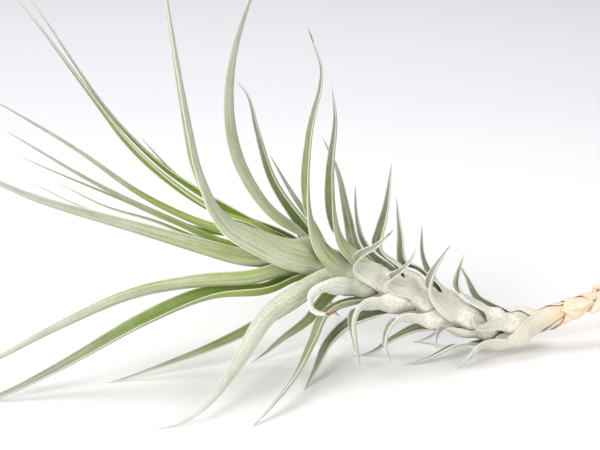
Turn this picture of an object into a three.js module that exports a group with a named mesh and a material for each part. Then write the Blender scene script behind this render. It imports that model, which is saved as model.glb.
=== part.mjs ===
// A hitchcockiana air plant lying on its side: a bare dry stem end, a row of short curled leaves,
// and an open rosette of long channelled leaves. Each leaf is one closed solid, sheath and blade.
// Millimetres. X runs from the rosette to the dry end, Y away from the viewer, Z up.
import * as THREE from "three";
import { mergeVertices } from "three/addons/utils/BufferGeometryUtils.js";

// Driving sizes of the stem and of the sheaths that wrap it.
const stemPath = [
  [186, 30, 31], [158, 17, 24], [135, 9, 18], [118, 4, 15], [103, 0, 14], [92, -2, 17], [76, -4, 23],
  [51, -6, 36], [35, -7, 42], [10, -8, 52], [-5, -8, 58], [-20, -8, 64], [-36, -7, 70],
];
const stemRadius = { old: 2.8, tip: 0.8 };
const sheathStart = { old: 3.95, heart: 1.9 }; // outer radius of a sheath where it leaves the stem
const sheathSwell = { amount: 0.8, within: 8 }; // mm that a sheath bulges, and how far along it
const sheathFlare = { first: 0.22, old: 0.28, heart: 0.19 }; // radius gained for each mm along the stem
const sheathThickness = 0.75;
const sheathSections = 5;
const sheathHalfAngle = 69; // degrees round the stem, each way from the keel
const facetAngle = 36; // degrees between the corners of a sheath's section
const firstInsertion = 58;
const insertionPitch = { old: 4.2, rosette: 3.2 };
const rosetteFrom = 21; // the number of older leaves, strung out along the stem
const heartFrom = 34; // leaves before the young heart of the rosette

// Driving sizes of the blades.
const bladeThickness = { base: 0.9, tip: 0.62 };
const bladeHalfAngle = 74; // degrees of the channel, each way from the keel
const shoulderLength = 12; // mm over which a sheath narrows into its blade
const clearOfYounger = { old: 22, heart: 12 }; // mm past the shoulder that a blade stays off its own cone
const guardFade = 8; // mm over which a blade comes free again
const bladeLift = 0.55; // mm between a blade and the cone of its own sheath
const usualTaper = 0.8; // below one keeps a blade's width for longer
const twistEnds = 0.5; // share of the blade over which it turns about its keel
const leastWidth = 0.9; // flat width near the tip
const tightest = 1.7; // least radius of a blade's channel, in thicknesses
const blendBefore = 5; // mm before the shoulder where the sheath's cone gives way to the blade
const guideLead = 6; // mm of the cone before that, which set the blade's first direction
const stationSpacing = 8;
const stationCount = { least: 9, most: 16 };
const stationCrowding = 1.25; // above one puts the sections closer together at the base
const turningSteps = 12; // small steps between sections that carry the channel along without twisting it

// Which side of the stem each row of leaves grows from: 0 faces the viewer and 90 is up.
const rowAzimuth = { lower: -37, front: 35, top: 107, back: 179, under: 251 };

// From the oldest leaf to the youngest. shoulder is where the blade leaves the stem, in mm along it,
// width is the flat width of the blade at its base, and path holds the points that the keel follows.
const leaves = [
  { row: "under", turn: -36, shoulder: 80, width: 8, twist: 25,
    path: [[95, 4, 5], [89, 5, 3], [82, 8, -1]] },
  { row: "lower", shoulder: 92, width: 17, twist: 5, path: [[94, -12, 11], [87, -17, 7], [79, -20, -1]] },
  { row: "back", turn: -36, shoulder: 88, width: 12, twist: 5,
    path: [[91, 7, 27], [87, 9, 35], [81, 12, 45]] },
  { row: "front", shoulder: 95, width: 11, path: [[88, -13, 20], [86, -15, 23], [87, -13, 26]] },
  { row: "under", turn: 36, shoulder: 99, width: 13, twist: 5,
    path: [[84, -9, 11], [75, -11, 7], [63, -14, 2], [52, -15, -1]] },
  { row: "top", turn: -36, shoulder: 105, width: 13, twist: 45,
    path: [[79, -10, 38], [78, -12, 46], [81, -12, 59]] },
  { row: "under", turn: -36, shoulder: 102, width: 9, twist: 55,
    path: [[74, 8, 9], [67, 11, 3], [59, 12, -1]] },
  { row: "back", shoulder: 117, width: 10, twist: -15, path: [[68, 9, 37], [63, 13, 48], [62, 14, 65]] },
  { row: "lower", shoulder: 108, width: 20, taper: 1, twist: -45,
    path: [[71, -18, 22], [68, -22, 18], [68, -22, 12]] },
  { row: "front", shoulder: 122, width: 19, twist: 45,
    path: [[64, -20, 42], [64, -23, 51], [68, -22, 59], [73, -19, 66]] },
  { row: "under", shoulder: 120, width: 13, twist: 10,
    path: [[59, 0, 13], [46, -2, 7], [36, -4, 1], [25, -5, -1]] },
  { row: "top", shoulder: 132, width: 14, twist: 30, path: [[52, 0, 48], [51, 2, 58], [48, 4, 83]] },
  { row: "lower", shoulder: 137, width: 17, twist: -15,
    path: [[48, -21, 28], [43, -25, 23], [42, -26, 16], [46, -22, 4]] },
  { row: "back", shoulder: 142, width: 11, twist: -35, path: [[33, 10, 56], [29, 15, 69], [28, 17, 86]] },
  { row: "front", shoulder: 146, width: 15, twist: 5,
    path: [[43, -21, 47], [46, -26, 53], [52, -26, 58], [56, -23, 66]] },
  { row: "under", shoulder: 150, width: 16, taper: 0.65, twist: 20,
    path: [[34, -6, 23], [26, -8, 20], [15, -16, 13], [8, -30, 5], [2, -44, -1]] },
  { row: "top", shoulder: 153, width: 16, twist: 25,
    path: [[39, -2, 56], [40, 0, 64], [43, 1, 78], [45, 0, 102]] },
  { row: "lower", shoulder: 160, width: 20, twist: -5,
    path: [[29, -22, 35], [26, -26, 31], [27, -27, 20], [30, -22, 3]] },
  { row: "back", shoulder: 155, width: 13, twist: 5,
    path: [[29, 10, 52], [25, 18, 65], [19, 24, 91], [11, 26, 108]] },
  { row: "front", shoulder: 165, width: 15, twist: 25,
    path: [[27, -22, 56], [28, -27, 63], [37, -28, 69], [45, -26, 77]] },
  { row: "under", turn: -36, shoulder: 160, width: 10, path: [[18, 13, 28], [17, 29, 13], [22, 46, -1]] },
  { row: "under", turn: 36, shoulder: 165, width: 14, taper: 0.65, twist: 10,
    path: [[14, -17, 30], [7, -31, 21], [-3, -58, 13], [-22, -81, -1]] },
  { row: "top", turn: -36, shoulder: 172, width: 18, twist: 40,
    path: [[21, -12, 64], [16, -14, 80], [15, -14, 103], [17, -12, 127], [15, -10, 144]] },
  { row: "under", turn: -36, shoulder: 173, width: 12, taper: 0.65, twist: -30,
    path: [[11, 1, 27], [4, 0, 18], [-7, -4, 11], [-25, -13, -1]] },
  { row: "lower", shoulder: 176, width: 23, taper: 0.7, twist: 5,
    path: [[13, -28, 48], [5, -32, 44], [6, -35, 39], [12, -36, 37], [19, -34, 39]] },
  { row: "under", shoulder: 186, width: 14, twist: -15,
    path: [[0, -5, 31], [-20, -10, 20], [-44, -20, 12], [-95, -36, -1]] },
  { row: "front", shoulder: 183, width: 14, twist: 75,
    path: [
      [12, -20, 63], [6, -24, 77], [3, -28, 99],
      [5, -30, 128], [10, -30, 155], [3, -28, 176],
    ] },
  { row: "back", shoulder: 186, width: 14, twist: -80, path: [[8, 8, 65], [-4, 14, 82], [-16, 18, 102]] },
  { row: "lower", shoulder: 188, width: 25, taper: 1.2, twist: 55,
    path: [
      [-1, -25, 42], [-15, -36, 35], [-32, -58, 16],
      [-44, -75, 7], [-58, -81, 0], [-70, -85, -1],
    ] },
  { row: "top", turn: 36, shoulder: 192, width: 15, twist: -12,
    path: [[0, 2, 72], [-13, 4, 92], [-21, 3, 119], [-25, 0, 136], [-31, 0, 143]] },
  { row: "front", shoulder: 197, width: 24, twist: 60,
    path: [
      [-1, -24, 63], [-18, -32, 73], [-36, -38, 86], [-46, -43, 109],
      [-51, -46, 137], [-58, -48, 191], [-60, -48, 213],
    ] },
  { row: "under", turn: 36, shoulder: 204, width: 19, taper: 0.65, twist: -30,
    path: [
      [-12, -18, 42], [-41, -26, 44], [-72, -38, 36],
      [-117, -47, 13], [-145, -55, 2], [-166, -60, -1],
    ] },
  { row: "top", shoulder: 206, width: 18, twist: -50,
    path: [
      [-6, -8, 73], [-17, -12, 85], [-29, -12, 108], [-33, -12, 132],
      [-31, -10, 157], [-23, -8, 184], [-14, -6, 206],
    ] },
  { row: "lower", shoulder: 209, width: 18, taper: 0.6,
    path: [
      [-23, -25, 50], [-41, -28, 51], [-78, -34, 47],
      [-117, -36, 30], [-146, -36, 14], [-165, -36, 4],
    ] },
  { row: "front", turn: -36, shoulder: 216, width: 15, taper: 0.65, twist: -20,
    path: [
      [-21, -23, 59], [-41, -30, 67], [-76, -40, 82],
      [-120, -50, 100], [-136, -54, 109], [-155, -58, 120],
    ] },
  { row: "back", turn: -36, shoulder: 211, width: 8, path: [[-35, 13, 72], [-59, 15, 88], [-80, 16, 111]] },
  { row: "back", shoulder: 217, width: 8, twist: -40,
    path: [
      [-24, 5, 69], [-35, 7, 75], [-66, 8, 96],
      [-93, 10, 124], [-128, 14, 178], [-137, 15, 188],
    ] },
  { row: "front", shoulder: 216, width: 7, twist: -30,
    path: [[-31, -19, 65], [-55, -20, 76], [-95, -24, 98], [-138, -28, 127]] },
  { row: "under", shoulder: 222, width: 6,
    path: [[-45, -4, 61], [-71, 0, 71], [-97, 1, 79], [-120, 4, 90]] },
  { row: "top", shoulder: 222, width: 11, twist: 30,
    path: [
      [-36, -3, 75], [-56, -2, 87], [-81, 0, 109],
      [-101, 4, 135], [-134, 8, 181], [-143, 9, 191],
    ] },
  { row: "lower", shoulder: 226, width: 6, twist: -20,
    path: [[-56, -16, 68], [-83, -18, 77], [-109, -20, 88], [-128, -22, 99]] },
  { row: "back", shoulder: 228, width: 6,
    path: [[-50, 2, 66], [-90, 5, 82], [-116, 6, 93], [-139, 8, 103]] },
  { row: "front", shoulder: 229, width: 7, twist: -30,
    path: [[-42, -11, 72], [-74, -8, 86], [-111, 0, 110], [-145, 2, 131], [-154, 3, 136]] },
];

// Dead sheaths that still wrap the old end of the stem.
const drySheaths = {
  count: 7,
  first: 2, // mm from the stem's dry end
  pitch: 7.5,
  length: 20,
  start: 3.9,
  flare: 0.16,
  thickness: 0.62,
  halfAngle: 118,
  pointAngle: 9, // what is left of the half angle at the torn point
  closesFrom: 0.35, // share of its length where it starts to narrow
  sections: 7,
  facetsPerSide: 3,
  startAzimuth: 35,
  stepAzimuth: -144,
};

const leafColour = 0xbfc9ad;
const dryColour = 0xe2bf9c;
const stemColour = 0xb48a66;

const radians = THREE.MathUtils.degToRad;
const viewerSide = new THREE.Vector3(0, -1, 0);

// The stem's line with a frame at any distance along it.
const stemPoints = stemPath.map((p) => new THREE.Vector3(...p));
const stemLine = new THREE.CatmullRomCurve3(stemPoints, false, "centripetal");
stemLine.arcLengthDivisions = 600;
const stemLength = stemLine.getLength();

function stemFrame(distance) {
  const along = THREE.MathUtils.clamp(distance / stemLength, 0, 1);
  const centre = stemLine.getPointAt(along);
  const tangent = stemLine.getTangentAt(along);
  const front = viewerSide.clone().addScaledVector(tangent, -viewerSide.dot(tangent)).normalize();
  const up = new THREE.Vector3().crossVectors(tangent, front);
  return { centre, tangent, front, up };
}

// A point at a distance along the stem, an azimuth round it and a radius from its middle.
function roundStem(distance, azimuth, radius) {
  const { centre, front, up } = stemFrame(distance);
  const angle = radians(azimuth);
  return centre.addScaledVector(front, radius * Math.cos(angle))
    .addScaledVector(up, radius * Math.sin(angle));
}

const stemMarks = Array.from({ length: Math.floor(stemLength) + 1 }, (_, i) => stemFrame(i));

// Moves a point straight out from the stem until it is clear of a cone round the stem.
function keepOutside(point, radiusAt, reach) {
  let nearest = 0;
  stemMarks.forEach((mark, i) => {
    const best = stemMarks[nearest].centre.distanceToSquared(point);
    if (mark.centre.distanceToSquared(point) < best) nearest = i;
  });
  const { centre, tangent } = stemMarks[nearest];
  const away = point.clone().sub(centre);
  const ahead = away.dot(tangent);
  away.addScaledVector(tangent, -ahead);
  const distance = nearest + ahead;
  const short = radiusAt(distance) - away.length();
  const held = 1 - THREE.MathUtils.smoothstep(distance, reach - guardFade, reach);
  if (short > 0) point.addScaledVector(away.normalize(), short * held);
}

// The section of a sheath: an arc of flat facets, outer corners first and then the inner ones back.
function sheathRing(distance, azimuth, radius, thickness, halfAngle, facetsPerSide = 2) {
  const step = Math.min(facetAngle, halfAngle / facetsPerSide);
  const flat = Math.cos(radians(step / 2));
  const edge = Math.cos(radians(halfAngle - (facetsPerSide - 0.5) * step));
  const angles = [-halfAngle, halfAngle];
  for (let k = 1 - facetsPerSide; k < facetsPerSide; k += 1) angles.splice(-1, 0, k * step);
  const corner = (angle, reach) => {
    const onEdge = Math.abs(angle) === halfAngle;
    return roundStem(distance, azimuth + angle, onEdge ? (reach * flat) / edge : reach);
  };
  const outer = angles.map((angle) => corner(angle, radius));
  const inner = angles.map((angle) => corner(angle, radius - thickness / flat));
  return [...outer, ...inner.reverse()];
}

// The section of a blade: an arc of the given flat width, its keel at the point and open towards inward.
function bladeRing(point, tangent, inward, width, thickness, halfAngle) {
  const radius = Math.max(width / (2 * halfAngle), tightest * thickness);
  const half = width / (2 * radius);
  const sideways = new THREE.Vector3().crossVectors(inward, tangent);
  const corner = (angle, reach) => point.clone()
    .addScaledVector(inward, radius - reach * Math.cos(angle))
    .addScaledVector(sideways, reach * Math.sin(angle));
  const angles = [-half, -half / 2, 0, half / 2, half];
  const outer = angles.map((angle) => corner(angle, radius));
  const inner = angles.map((angle) => corner(angle, radius - thickness));
  return [...outer, ...inner.reverse()];
}

// Points of one section that would sink below the ground lie flat on it, its other face just above.
function restOnGround(ring, thickness) {
  const last = ring.length - 1;
  for (let i = 0; i <= last / 2; i += 1) {
    const [low, high] = ring[i].z <= ring[last - i].z ? [ring[i], ring[last - i]] : [ring[last - i], ring[i]];
    low.z = Math.max(low.z, 0);
    high.z = Math.max(high.z, thickness);
  }
}

// A closed skin over sections of equal size, flat at the first and drawn to a point at the last.
function skin(rings, tip) {
  const size = rings[0].length;
  const positions = rings.flat().flatMap((p) => p.toArray());
  const faces = [];
  for (let i = 0; i < size / 2 - 1; i += 1) {
    const a = i, b = i + 1, c = size - 2 - i, d = size - 1 - i;
    faces.push(a, c, b, a, d, c);
  }
  for (let r = 0; r < rings.length - 1; r += 1) {
    for (let i = 0; i < size; i += 1) {
      const next = (i + 1) % size;
      const a = r * size + i, b = r * size + next, c = a + size, d = b + size;
      faces.push(a, d, c, a, b, d);
    }
  }
  const lastRing = (rings.length - 1) * size;
  positions.push(...tip.toArray());
  for (let i = 0; i < size; i += 1) {
    faces.push(lastRing + i, lastRing + ((i + 1) % size), rings.length * size);
  }
  const geometry = new THREE.BufferGeometry();
  geometry.setAttribute("position", new THREE.Float32BufferAttribute(positions, 3));
  geometry.setIndex(faces);
  const closed = mergeVertices(geometry, 1e-4);
  closed.computeVertexNormals();
  return closed;
}

function makeMesh(name, geometry, colour) {
  const material = new THREE.MeshStandardMaterial({ color: colour, roughness: 0.85, metalness: 0 });
  const mesh = new THREE.Mesh(geometry, material);
  mesh.name = name;
  return mesh;
}

function insertionOf(order) {
  const inRosette = Math.max(0, order - rosetteFrom);
  return firstInsertion + insertionPitch.old * (order - inRosette) + insertionPitch.rosette * inRosette;
}

// The share of the way from the outer rosette to the growing tip.
function heartShare(order) {
  return THREE.MathUtils.clamp((order - heartFrom) / (leaves.length - heartFrom), 0, 1);
}

function makeLeaf(leaf, order) {
  const { lerp, smoothstep, clamp } = THREE.MathUtils;
  const azimuth = rowAzimuth[leaf.row] + (leaf.turn ?? 0);
  const insertion = insertionOf(order);
  const heart = heartShare(order);
  const start = lerp(sheathStart.old, sheathStart.heart, heart);
  const ageFlare = lerp(sheathFlare.first, sheathFlare.old, Math.min(1, order / rosetteFrom));
  const flare = lerp(ageFlare, sheathFlare.heart, heart);
  const swell = lerp(sheathSwell.amount, 0, heart);
  const radiusAt = (distance) => {
    const up = distance - insertion;
    return start + flare * up + swell * (1 - Math.exp(-up / sheathSwell.within));
  };
  const narrowing = leaf.shoulder - blendBefore;

  const rings = [];
  for (let i = 0; i < sheathSections; i += 1) {
    const distance = lerp(insertion, narrowing, i / (sheathSections - 1));
    rings.push(sheathRing(distance, azimuth, radiusAt(distance), sheathThickness, sheathHalfAngle));
  }

  const keelOf = (distance) => roundStem(distance, azimuth, radiusAt(distance));
  const guide = [narrowing - guideLead, narrowing, leaf.shoulder].map(keelOf);
  const waypoints = leaf.path.map((p) => new THREE.Vector3(...p));
  const keel = new THREE.CatmullRomCurve3([...guide, ...waypoints], false, "centripetal");
  keel.arcLengthDivisions = 400;
  const keelLength = keel.getLength();
  const bladeStart = guide[0].distanceTo(guide[1]) / keelLength;
  const bladeLength = keelLength * (1 - bladeStart);

  const guardEnd = leaf.shoulder + lerp(clearOfYounger.old, clearOfYounger.heart, heart);
  const { least, most } = stationCount;
  const stations = clamp(Math.round(bladeLength / stationSpacing) + 2, least, most);
  const { front, up } = stemFrame(narrowing);
  const inward = front.clone().multiplyScalar(-Math.cos(radians(azimuth)))
    .addScaledVector(up, -Math.sin(radians(azimuth)));
  const sheathWidth = 2 * radiusAt(leaf.shoulder) * radians(sheathHalfAngle);
  let along = bladeStart;
  for (let i = 1; i < stations; i += 1) {
    const share = (i / stations) ** stationCrowding;
    const target = bladeStart + (1 - bladeStart) * share;
    for (let step = 1; step <= turningSteps; step += 1) {
      const tangent = keel.getTangentAt(along + ((target - along) * step) / turningSteps);
      inward.addScaledVector(tangent, -inward.dot(tangent)).normalize();
    }
    along = target;
    const point = keel.getPointAt(along);
    const tangent = keel.getTangentAt(along);
    const turn = (leaf.twist ?? 0) * smoothstep(share, 0, twistEnds);
    const turned = inward.clone().applyAxisAngle(tangent, radians(turn));
    const shoulder = 1 - smoothstep(share * bladeLength, 0, shoulderLength);
    const bladeWidth = Math.max(leaf.width * (1 - share) ** (leaf.taper ?? usualTaper), leastWidth);
    const width = lerp(bladeWidth, sheathWidth, shoulder);
    const halfAngle = radians(lerp(bladeHalfAngle, sheathHalfAngle, shoulder));
    const thickness = lerp(bladeThickness.base, bladeThickness.tip, share);
    const depth = (width * (1 - Math.cos(halfAngle))) / (2 * halfAngle);
    point.addScaledVector(turned, (-depth * (1 - shoulder)) / 2);
    const ring = bladeRing(point, tangent, turned, width, thickness, halfAngle);
    ring.forEach((corner, k) => {
      const inset = k < ring.length / 2 ? 0 : sheathThickness;
      keepOutside(corner, (distance) => radiusAt(distance) + bladeLift - inset, guardEnd);
    });
    restOnGround(ring, thickness);
    rings.push(ring);
  }
  const tip = keel.getPointAt(1);
  tip.z = Math.max(tip.z, 0);
  const name = `leaf_${String(order + 1).padStart(2, "0")}_${leaf.row}`;
  return makeMesh(name, skin(rings, tip), leafColour);
}

function makeDrySheath(index) {
  const d = drySheaths;
  const { lerp, smoothstep } = THREE.MathUtils;
  const azimuth = d.startAzimuth + index * d.stepAzimuth;
  const insertion = d.first + index * d.pitch;
  const radiusAt = (share) => d.start + d.flare * share * d.length;
  const rings = [];
  for (let i = 0; i < d.sections; i += 1) {
    const share = i / d.sections;
    const halfAngle = lerp(d.halfAngle, d.pointAngle, smoothstep(share, d.closesFrom, 1));
    const distance = insertion + share * d.length;
    rings.push(sheathRing(distance, azimuth, radiusAt(share), d.thickness, halfAngle, d.facetsPerSide));
  }
  const tip = roundStem(insertion + d.length, azimuth, radiusAt(1) - d.thickness / 2);
  return makeMesh(`dry_sheath_${index + 1}`, skin(rings, tip), dryColour);
}

function makeStem() {
  const sides = 10;
  const spacing = 9;
  const end = insertionOf(leaves.length);
  const heartStart = insertionOf(heartFrom);
  const stations = Math.round(end / spacing);
  const rings = [];
  for (let i = 0; i < stations; i += 1) {
    const distance = (end * i) / stations;
    const taper = THREE.MathUtils.clamp((distance - heartStart) / (end - heartStart), 0, 1);
    const radius = THREE.MathUtils.lerp(stemRadius.old, stemRadius.tip, taper);
    const ring = [];
    for (let k = 0; k < sides; k += 1) {
      const azimuth = rowAzimuth.front + k * facetAngle;
      ring.push(roundStem(distance, azimuth, radius));
    }
    rings.push(ring);
  }
  return makeMesh("stem", skin(rings, stemFrame(end).centre), stemColour);
}

const plant = new THREE.Group();
plant.name = "air_plant";
plant.add(makeStem());
for (let i = 0; i < drySheaths.count; i += 1) plant.add(makeDrySheath(i));
leaves.forEach((leaf, order) => plant.add(makeLeaf(leaf, order)));

// The origin is the middle of the bottom of the box round the whole plant.
const box = new THREE.Box3().setFromObject(plant);
const middle = box.getCenter(new THREE.Vector3());
plant.position.set(-middle.x, -middle.y, -box.min.z);

const part = new THREE.Group();
part.name = "hitchcockiana_air_plant";
part.add(plant);
export default part;
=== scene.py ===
import bpy
import math
import numpy as np
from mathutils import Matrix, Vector


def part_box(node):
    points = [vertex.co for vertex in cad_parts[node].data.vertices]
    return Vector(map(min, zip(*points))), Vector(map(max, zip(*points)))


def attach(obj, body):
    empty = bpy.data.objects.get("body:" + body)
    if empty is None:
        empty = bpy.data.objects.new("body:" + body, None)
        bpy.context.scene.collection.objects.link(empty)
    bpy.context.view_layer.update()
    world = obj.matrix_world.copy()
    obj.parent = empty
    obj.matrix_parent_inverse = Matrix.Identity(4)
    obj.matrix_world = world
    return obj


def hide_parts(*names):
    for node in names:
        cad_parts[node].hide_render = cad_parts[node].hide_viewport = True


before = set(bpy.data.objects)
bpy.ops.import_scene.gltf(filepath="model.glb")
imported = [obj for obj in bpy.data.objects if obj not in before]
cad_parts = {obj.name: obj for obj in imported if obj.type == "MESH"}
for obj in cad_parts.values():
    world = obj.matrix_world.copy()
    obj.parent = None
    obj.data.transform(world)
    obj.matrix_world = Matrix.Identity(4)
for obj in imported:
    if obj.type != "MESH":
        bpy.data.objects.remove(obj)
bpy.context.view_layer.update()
leafNodes = sorted(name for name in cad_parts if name.startswith("leaf_"))
dryNodes = sorted(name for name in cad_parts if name.startswith("dry_sheath_"))
print("frame:", len(leafNodes), "leaves,", len(dryNodes), "dry sheaths and the stem")

mm = 0.001  # the frame is in metres


def addObject(name, data):
    made = bpy.data.objects.new(name, data)
    bpy.context.scene.collection.objects.link(made)
    return made


# Camera: the photograph's own view, placed from the stem's box so that it follows the plant.
view = {
    "elevation": 20,        # degrees above the ground
    "distance": 700 * mm,
    "pixelsWide": 600,
    "focalPixels": 1407,
    "sensor": 36,           # mm, in Blender's own unit
    "seesTo": 100,          # metres
    "aimFromDryEnd": (-187.3 * mm, -32.55 * mm),  # from the stem's right, far corner to the aim
    "aimHeight": 69.5 * mm,
}


def makeCamera():
    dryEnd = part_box("stem")[1]
    right, far = view["aimFromDryEnd"]
    aim = Vector((dryEnd.x + right, dryEnd.y + far, view["aimHeight"]))
    rise = math.radians(view["elevation"])
    back = Vector((0, -math.cos(rise), math.sin(rise)))
    data = bpy.data.cameras.new("photographView")
    data.sensor_width = view["sensor"]
    data.lens = view["sensor"] * view["focalPixels"] / view["pixelsWide"]
    data.clip_end = view["seesTo"]
    camera = addObject("photographView", data)
    camera.location = aim + back * view["distance"]
    camera.rotation_euler = (-back).to_track_quat("-Z", "Y").to_euler()
    bpy.context.scene.camera = camera
    return aim


aim = makeCamera()
print("camera placed")


# Small helpers for node trees.
def fromHex(code):  # a screen colour such as "c8cbb9" as linear light
    parts = [int(code[i:i + 2], 16) / 255 for i in (0, 2, 4)]
    return [c / 12.92 if c <= 0.04045 else ((c + 0.055) / 1.055) ** 2.4 for c in parts] + [1]


def fillInputs(tree, node, inputs):  # links a socket, and sets anything else as the plain value
    for key, value in inputs.items():
        if isinstance(value, bpy.types.NodeSocket):
            tree.links.new(value, node.inputs[key])
        else:
            node.inputs[key].default_value = value


def addNode(tree, kind, inputs=None, **settings):
    made = tree.nodes.new(kind)
    for key, value in settings.items():
        setattr(made, key, value)
    fillInputs(tree, made, inputs or {})
    return made


def doMath(tree, operation, first, second=0.0, third=0.0, clamp=False):
    inputs = {0: first, 1: second, 2: third}
    return addNode(tree, "ShaderNodeMath", inputs, operation=operation, use_clamp=clamp).outputs[0]


def centred(tree, value, strength):  # a pattern from 0 to 1 becomes a change to either side
    return doMath(tree, "MULTIPLY", doMath(tree, "SUBTRACT", value, 0.5), strength)


def mixColour(tree, share, first, second):  # each colour is a socket or a screen colour's code
    first, second = (fromHex(colour) if isinstance(colour, str) else colour for colour in (first, second))
    return addNode(tree, "ShaderNodeMix", {"Factor": share, 6: first, 7: second}, data_type="RGBA").outputs[2]


def softStep(tree, value, start, end):
    inputs = {"Value": value, "From Min": start, "From Max": end}
    return addNode(tree, "ShaderNodeMapRange", inputs, interpolation_type="SMOOTHSTEP").outputs["Result"]


def noise(tree, place, scale, detail, roughness=0.5, distortion=0.0):  # looks list its numbers in this order
    inputs = {"Vector": place, "Scale": scale, "Detail": detail}
    inputs.update({"Roughness": roughness, "Distortion": distortion})
    return addNode(tree, "ShaderNodeTexNoise", inputs).outputs["Fac"]


def stretched(tree, place, factors):
    return addNode(tree, "ShaderNodeVectorMath", {0: place, 1: factors}, operation="MULTIPLY").outputs[0]


def readAttribute(tree, name, output="Fac"):
    return addNode(tree, "ShaderNodeAttribute", attribute_name=name).outputs[output]


def addBump(tree, strength, depth, height):
    inputs = {"Strength": strength, "Distance": depth, "Height": height}
    return addNode(tree, "ShaderNodeBump", inputs).outputs["Normal"]


def startGroup(name, inputs, outputs, treeKind="ShaderNodeTree"):
    group = bpy.data.node_groups.new(name, treeKind)
    for way, sockets in (("INPUT", inputs), ("OUTPUT", outputs)):
        for label, kind in sockets.items():
            group.interface.new_socket(label, in_out=way, socket_type=kind)
    return group, group.nodes.new("NodeGroupInput").outputs, group.nodes.new("NodeGroupOutput")


def useGroup(tree, group, inputs):
    return addNode(tree, "ShaderNodeGroup", inputs, node_tree=group).outputs


def startMaterial(name):
    material = bpy.data.materials.new(name)
    material.use_nodes = True
    return material, material.node_tree, material.node_tree.nodes["Principled BSDF"]


numberSocket, vectorSocket = "NodeSocketFloat", "NodeSocketVector"

# Silver scales: tiny pale discs, thicker in some patches than in others. Places are in mm.
scaleLook = {
    "stretch": (1, 0.6, 1),      # across the leaf, along it, and from leaf to leaf
    "discFade": (0.75, 0.1),     # from a disc's edge to its full height, as shares of its size
    "patchNoise": (0.14, 3), "patches": 2.0,
    "grainNoise": (1.3, 2), "grain": 0.65,
    "speckle": 0.5, "contrast": 1.5,
}


def makeScalesGroup():
    group, given, result = startGroup(
        "silverScales",
        {"Place": vectorSocket, "Size": numberSocket, "Cover": numberSocket, "Patches": numberSocket},
        {"Mask": numberSocket, "Height": numberSocket},
    )
    place = stretched(group, given["Place"], scaleLook["stretch"])
    density = doMath(group, "DIVIDE", 1.0, given["Size"])
    discs = addNode(group, "ShaderNodeTexVoronoi", {"Vector": place, "Scale": density}, feature="F1").outputs
    disc = softStep(group, discs["Distance"], *scaleLook["discFade"])
    patches = noise(group, place, *scaleLook["patchNoise"])
    uneven = doMath(group, "MULTIPLY", centred(group, patches, given["Patches"]), scaleLook["patches"])
    cover = doMath(group, "ADD", given["Cover"], uneven, clamp=True)
    speckle = centred(group, disc, scaleLook["speckle"])
    clumped = centred(group, noise(group, place, *scaleLook["grainNoise"]), scaleLook["grain"])
    grainy = doMath(group, "MULTIPLY", doMath(group, "ADD", speckle, clumped), cover)
    mask = doMath(group, "MULTIPLY_ADD", grainy, scaleLook["contrast"], cover, clamp=True)
    fillInputs(group, result, {"Mask": mask, "Height": doMath(group, "MULTIPLY", disc, cover)})
    return group


# Parallel veins: fine lines that run the whole length of a leaf or of a dry sheath.
veinLook = {"stretch": (1, 0.012, 1), "detail": 4, "roughness": 0.65, "edge": (0.4, 0.6)}


def makeVeinsGroup():
    group, given, result = startGroup(
        "parallelVeins",
        {"Place": vectorSocket, "PerMillimetre": numberSocket, "Waver": numberSocket},
        {"Mask": numberSocket, "Height": numberSocket},
    )
    place = stretched(group, given["Place"], veinLook["stretch"])
    sizes = (given["PerMillimetre"], veinLook["detail"], veinLook["roughness"], given["Waver"])
    lines = noise(group, place, *sizes)
    fillInputs(group, result, {"Mask": softStep(group, lines, *veinLook["edge"]), "Height": lines})
    return group


# Dried tip: the withered end of a blade, with an uneven edge. Its fade is in mm.
driedLook = {"noise": (0.9, 3), "fade": (-0.6, 1.4), "darkPatches": (0.45, 0.6)}


def makeDriedGroup():
    group, given, result = startGroup(
        "driedTip",
        {"Place": vectorSocket, "FromTip": numberSocket, "Reach": numberSocket},
        {"Mask": numberSocket, "Dark": numberSocket},
    )
    ragged = noise(group, given["Place"], *driedLook["noise"])
    edge = doMath(group, "ADD", given["Reach"], centred(group, ragged, given["Reach"]))
    ahead = doMath(group, "SUBTRACT", edge, given["FromTip"])
    mask = softStep(group, ahead, *driedLook["fade"])
    fillInputs(group, result, {"Mask": mask, "Dark": softStep(group, ragged, *driedLook["darkPatches"])})
    return group


scalesGroup, veinsGroup, driedGroup = makeScalesGroup(), makeVeinsGroup(), makeDriedGroup()

# Living leaves. Each face has a colour at the base, half way and at the tip, under the silver.
leafLooks = {
    "oldLeaf": {
        "outer": ("b0b094", "9ea386", "929093"), "inner": ("54682a", "606f3c", "7f7e78"),
        "outerCover": (0.62, 0.4), "innerCover": (0.04, 0.2),    # silver at the base and at the tip
        "silver": "e4e2d8", "sheath": "f6f1e6", "sheathLine": "cac4b4", "rim": "f0efe2",
        "roughness": 0.72, "sheen": 0.2,
    },
    "rosetteLeaf": {
        "outer": ("8c9b48", "868e5a", "958f93"), "inner": ("7a9a24", "748a34", "8b8884"),
        "outerCover": (0.15, 0.24), "innerCover": (0.02, 0.16),
        "silver": "d1d1c0", "sheath": "dadbc8", "sheathLine": "bcc29c", "rim": "eeeedc",
        "roughness": 0.7, "sheen": 0.18,
    },
}

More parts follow.
